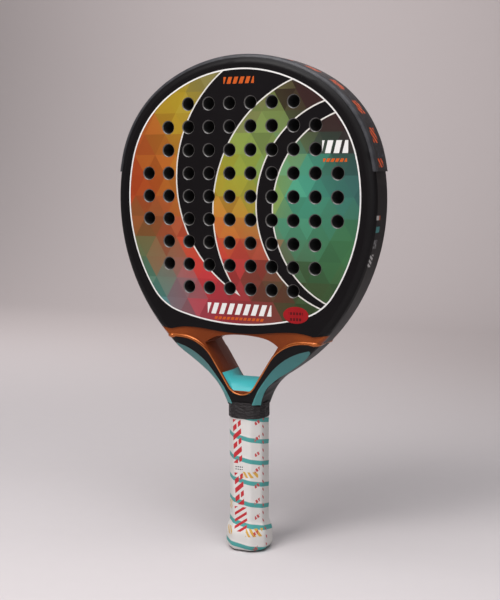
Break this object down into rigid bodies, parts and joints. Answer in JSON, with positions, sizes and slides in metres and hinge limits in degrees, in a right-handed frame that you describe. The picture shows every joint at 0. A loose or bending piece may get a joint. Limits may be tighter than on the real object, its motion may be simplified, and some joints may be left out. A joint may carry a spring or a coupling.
{
  "type": "padel racket",
  "caption": "Padel racket with a drilled egg-shaped head, open throat, wrapped handle and flared butt.",
  "frame": {"origin": "centre of the underside of the butt", "axes": "+Z from the butt up to the head, +X across the head, +Y through the thickness with the front face towards -Y"},
  "size_m": [0.2556, 0.04, 0.455],
  "materials": {
    "carbon_black": "clear-lacquered black carbon laminate",
    "face_print": "printed laminate under clear lacquer",
    "core_foam": "dark closed-cell foam, drilled",
    "copper_trim": "metallic copper-orange lacquer",
    "teal_rubber": "smooth teal elastomer",
    "teal_panel": "satin teal lacquer",
    "protector_black": "dark moulded edge strip",
    "adhesive_tape": "double-sided tape",
    "leg_foam": "rigid foam",
    "pallet_foam": "moulded rigid foam",
    "staple_steel": "bright wire",
    "cap_black": "black moulded plastic",
    "cushion_black": "black cushion wrap",
    "overgrip_white": "white perforated-look overgrip with teal edge stripe",
    "tape_black": "black finishing tape",
    "collar_rubber": "dark grey stretched rubber",
    "sticker_red": "red oval paper label"
  },
  "bodies": {
    "root": {"frame_tube": "carbon_black", "throat_bridge": "carbon_black", "head_core": "core_foam", "front_face": "face_print", "rear_face": "face_print", "front_throat_trim": "copper_trim", "rear_throat_trim": "copper_trim", "saddle_damper": "teal_rubber", "front_left_arm_panel": "teal_panel", "front_right_arm_panel": "teal_panel", "rear_left_arm_panel": "teal_panel", "rear_right_arm_panel": "teal_panel", "edge_protector": "protector_black", "protector_tape": "adhesive_tape", "leg_spacer": "leg_foam", "front_pallet": "pallet_foam", "rear_pallet": "pallet_foam", "cap_staples": "staple_steel", "butt_cap": "cap_black", "base_grip": "cushion_black", "overgrip": "overgrip_white", "finishing_tape": "tape_black", "grip_collar": "collar_rubber", "face_sticker": "sticker_red"}
  },
  "joints": []
}
